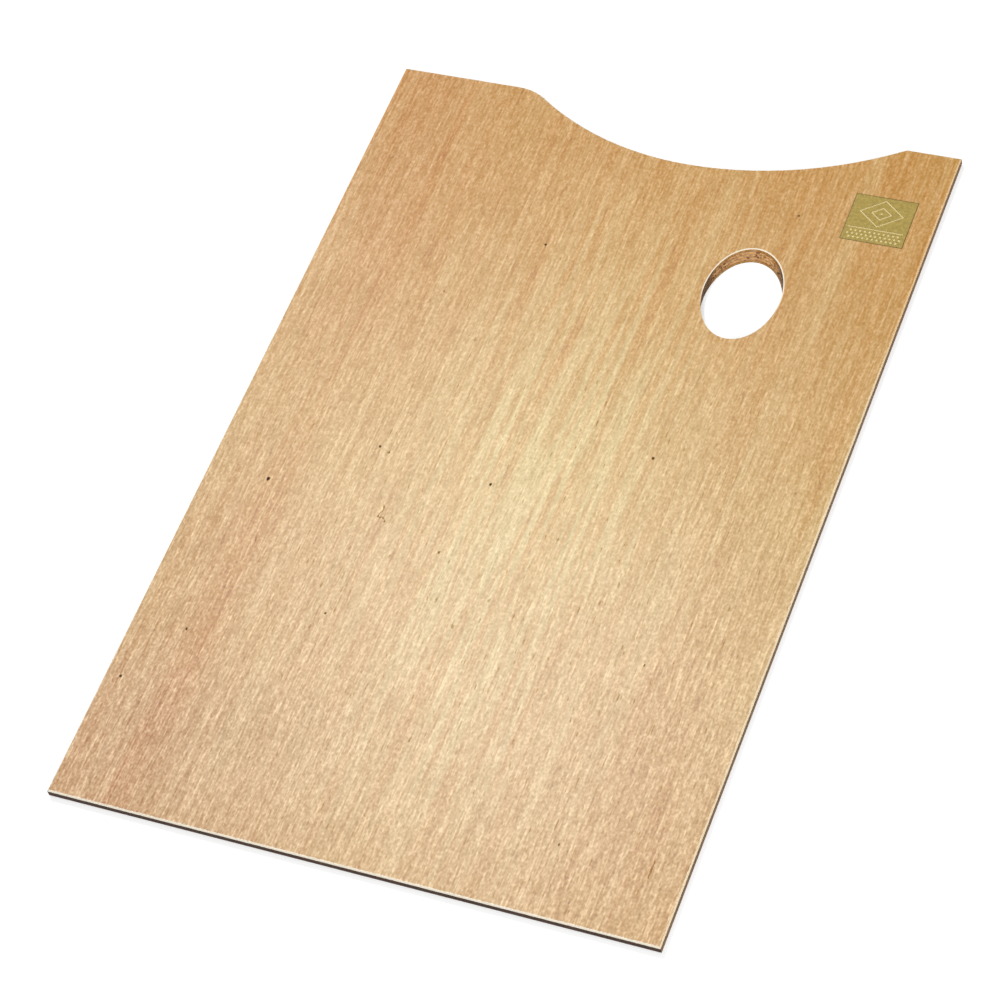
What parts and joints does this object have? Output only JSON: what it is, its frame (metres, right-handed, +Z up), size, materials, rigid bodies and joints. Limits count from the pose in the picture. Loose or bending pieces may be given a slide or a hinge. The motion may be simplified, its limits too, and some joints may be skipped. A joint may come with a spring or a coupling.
{
  "type": "mixing palette",
  "caption": "Flat rectangular artist's palette of thin plywood with a scooped arm rest on one end and a slanted thumb hole, for holding and mixing paint.",
  "frame": {"origin": "middle of the board's underside", "axes": "+X towards the thumb hole's side, +Y towards the arm rest, +Z up out of the mixing face"},
  "size_m": [0.265, 0.395, 0.0042],
  "materials": {
    "veneer": "sanded pale tan veneer with fine straight grain, satin varnish",
    "crossband": "raw sawn edge, grain across the board",
    "core": "raw sawn edge, grain along the board",
    "glue": "cured dark resin, seen only as thin lines on the edge",
    "label_adhesive": "clear pressure-sensitive film",
    "label_foil": "embossed olive-gold foil paper, satin metallic"
  },
  "bodies": {
    "root": {"face_veneer": "veneer", "back_veneer": "veneer", "upper_crossband": "crossband", "lower_crossband": "crossband", "core_ply": "core", "glue_line_1": "glue", "glue_line_2": "glue", "glue_line_3": "glue", "glue_line_4": "glue", "label_adhesive": "label_adhesive", "label_foil": "label_foil"}
  },
  "joints": []
}
